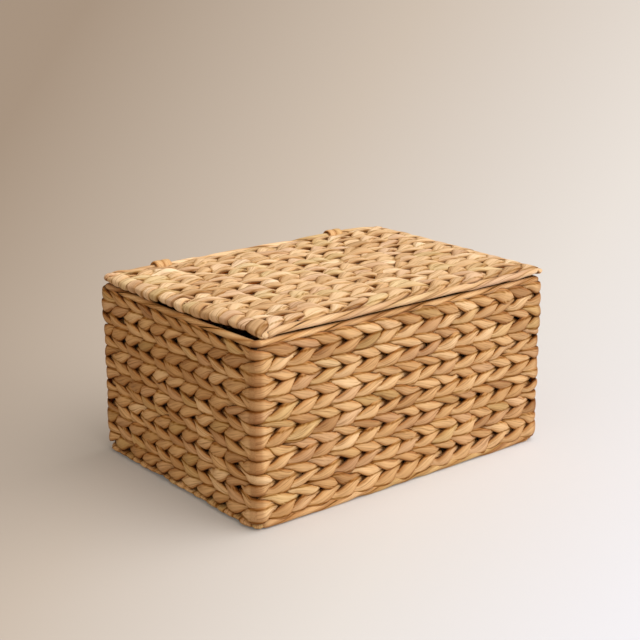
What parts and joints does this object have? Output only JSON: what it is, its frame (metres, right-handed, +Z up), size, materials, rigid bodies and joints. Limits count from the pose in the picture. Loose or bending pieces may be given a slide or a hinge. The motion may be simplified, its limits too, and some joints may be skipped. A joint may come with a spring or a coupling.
{
  "type": "woven lidded box",
  "caption": "Rectangular storage box twined from flat plant stalks over a wire frame, with a flat woven lid that turns on strand ties along its back edge.",
  "frame": {"origin": "centre of the flat underside of the base, on the floor", "axes": "+X along the long front, +Y from the front to the hinge side, +Z up"},
  "size_m": [0.4, 0.2884, 0.2094],
  "materials": {
    "woven_wall": "dry flattened stalk, matt, uncoated",
    "woven_lid": "dry flattened stalk, matt, uncoated",
    "bound_edge": "dry stalk strip, slight sheen",
    "frame_wire": "dark coated steel wire"
  },
  "bodies": {
    "basket": {"basket_wire_frame": "frame_wire", "wall_course_01": "woven_wall", "wall_course_02": "woven_wall", "wall_course_03": "woven_wall", "wall_course_04": "woven_wall", "wall_course_05": "woven_wall", "wall_course_06": "woven_wall", "wall_course_07": "woven_wall", "wall_course_08": "woven_wall", "wall_course_09": "woven_wall", "wall_course_10": "woven_wall", "wall_course_11": "woven_wall", "wall_course_12": "woven_wall", "wall_course_13": "woven_wall", "wall_course_14": "woven_wall", "base_loop_01": "woven_wall", "base_loop_02": "woven_wall", "base_loop_03": "woven_wall", "base_loop_04": "woven_wall", "base_loop_05": "woven_wall", "base_loop_06": "woven_wall", "base_loop_07": "woven_wall", "base_loop_08": "woven_wall", "base_loop_09": "woven_wall", "base_front_binding": "bound_edge", "base_back_binding": "bound_edge", "rim_binding": "bound_edge", "hinge_tie_left": "bound_edge", "hinge_tie_right": "bound_edge"},
    "lid": {"lid_wire_frame": "frame_wire", "lid_loop_01": "woven_lid", "lid_loop_02": "woven_lid", "lid_loop_03": "woven_lid", "lid_loop_04": "woven_lid", "lid_loop_05": "woven_lid", "lid_loop_06": "woven_lid", "lid_loop_07": "woven_lid", "lid_loop_08": "woven_lid", "lid_loop_09": "woven_lid", "lid_front_binding": "bound_edge", "lid_back_binding": "bound_edge"}
  },
  "joints": [
    {"name": "lid_hinge", "type": "hinge", "parent": "basket", "child": "lid", "pos_m": [0, 0.1365, 0.2005], "axis": [-1, 0, 0], "range_deg": [0, 180]}
  ]
}
